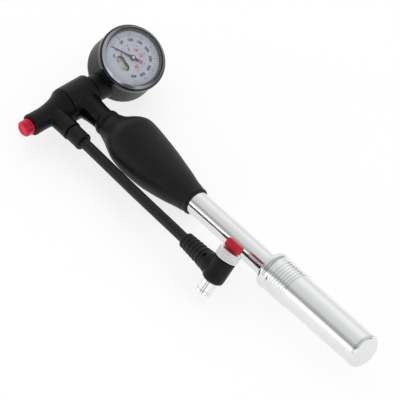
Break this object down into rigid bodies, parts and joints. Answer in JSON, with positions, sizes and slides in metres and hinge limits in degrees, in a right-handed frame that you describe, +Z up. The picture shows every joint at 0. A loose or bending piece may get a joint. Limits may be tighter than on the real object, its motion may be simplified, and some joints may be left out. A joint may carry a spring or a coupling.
{
  "type": "shock suspension pump",
  "caption": "Hand shock pump: palm grip, sliding aluminium handle, tilted pressure gauge, bleed button and a swivelling hose arm with a screw-on valve coupler.",
  "frame": {"origin": "middle of the pump's footprint, on the surface that it lies on, measured without the hose and chuck", "axes": "+X along the barrel from the head to the handle, +Y across the head towards the gauge, +Z up"},
  "size_m": [0.3118, 0.1098, 0.0476],
  "materials": {
    "black_nylon": "satin moulded",
    "black_rubber": "matte",
    "aluminium": "polished",
    "steel": "ground",
    "brass": "machined",
    "chrome": "polished",
    "red_anodised": "anodised",
    "red_plastic": "satin moulded",
    "dial_white": "printed",
    "clear_lens": "polished",
    "white_nylon": "moulded"
  },
  "bodies": {
    "pump_body": {"head_casting": "black_nylon", "barrel_seal": "black_rubber", "barrel_tube": "aluminium", "rod_guide_bush": "black_nylon", "grip": "black_rubber", "check_valve_seat": "brass", "check_valve_spring": "steel", "swivel_spindle": "brass", "swivel_seal_inner": "black_rubber", "swivel_seal_outer": "black_rubber", "spindle_circlip": "steel", "gauge_housing": "black_nylon", "gauge_bezel": "black_nylon", "gauge_lens": "clear_lens", "gauge_trim_ring": "chrome", "gauge_dial": "dial_white", "gauge_socket": "brass", "movement_frame": "brass", "bourdon_tube": "brass"},
    "plunger": {"handle_shell": "aluminium", "handle_guide_bush": "black_nylon", "rod_anchor": "white_nylon", "handle_bumper": "black_rubber", "plunger_rod": "steel", "piston": "white_nylon", "piston_seal": "black_rubber", "piston_screw": "steel"},
    "check_valve": {"check_valve_poppet": "brass"},
    "hose_arm": {"swivel_tee": "black_nylon", "hose_ferrule": "black_nylon", "bleed_valve_seat": "brass", "bleed_spring": "steel", "hose": "black_rubber", "strain_relief": "black_rubber", "chuck_body": "black_nylon"},
    "bleed_valve": {"bleed_button": "red_anodised", "bleed_pin": "steel", "bleed_pin_seal": "black_rubber"},
    "coupler": {"coupler_sleeve": "chrome", "coupler_seal_lower": "black_rubber", "coupler_seal_upper": "black_rubber", "valve_gasket": "black_rubber", "knurled_knob": "aluminium"},
    "tab": {"thumb_tab": "red_plastic"},
    "depressor": {"depressor_pin": "steel"},
    "pointer": {"gauge_pointer": "black_nylon", "pinion_shaft": "brass"},
    "sector": {"sector_gear": "brass"}
  },
  "joints": [
    {"name": "handle_slide", "type": "slide", "parent": "pump_body", "child": "plunger", "axis": [-1, 0, 0], "range_m": [0, 0.066]},
    {"name": "check_valve_lift", "type": "slide", "parent": "pump_body", "child": "check_valve", "axis": [-1, 0, 0], "range_m": [0, 0.001], "stiffness_N_per_m": 60, "deforming": ["check_valve_spring"]},
    {"name": "arm_swivel", "type": "hinge", "parent": "pump_body", "child": "hose_arm", "pos_m": [-0.13153, -0.0288, 0.015], "axis": [0, 1, 0], "continuous": true},
    {"name": "bleed_press", "type": "slide", "parent": "hose_arm", "child": "bleed_valve", "axis": [0, 1, 0], "range_m": [0, 0.0015], "stiffness_N_per_m": 600, "deforming": ["bleed_spring"]},
    {"name": "coupler_turn", "type": "hinge", "parent": "hose_arm", "child": "coupler", "pos_m": [0.04444, -0.03707, 0.01866], "axis": [0.0143, 0.6428, 0.7659], "continuous": true},
    {"name": "tab_turn", "type": "hinge", "parent": "hose_arm", "child": "tab", "pos_m": [0.04444, -0.03707, 0.01866], "axis": [0.0143, 0.6428, 0.7659], "range_deg": [0, 180]},
    {"name": "depressor_slide", "type": "slide", "parent": "hose_arm", "child": "depressor", "axis": [0.0143, 0.6428, 0.7659], "range_m": [-0.0015, 0], "stiffness_N_per_m": 50},
    {"name": "pointer_turn", "type": "hinge", "parent": "pump_body", "child": "pointer", "pos_m": [-0.12058, 0.0321, 0.0409], "axis": [0.5, 0, 0.866], "range_deg": [-246, 0]},
    {"name": "sector_turn", "type": "hinge", "parent": "pump_body", "child": "sector", "pos_m": [-0.12058, 0.0211, 0.0409], "axis": [0.5, 0, 0.866], "range_deg": [0, 35.14], "stiffness_Nm_per_rad": 0.00005}
  ],
  "couplings": [
    {"joint": "tab_turn", "follows": "depressor_slide", "rad_per_m": -2094.4},
    {"joint": "pointer_turn", "follows": "sector_turn", "ratio": -7}
  ]
}
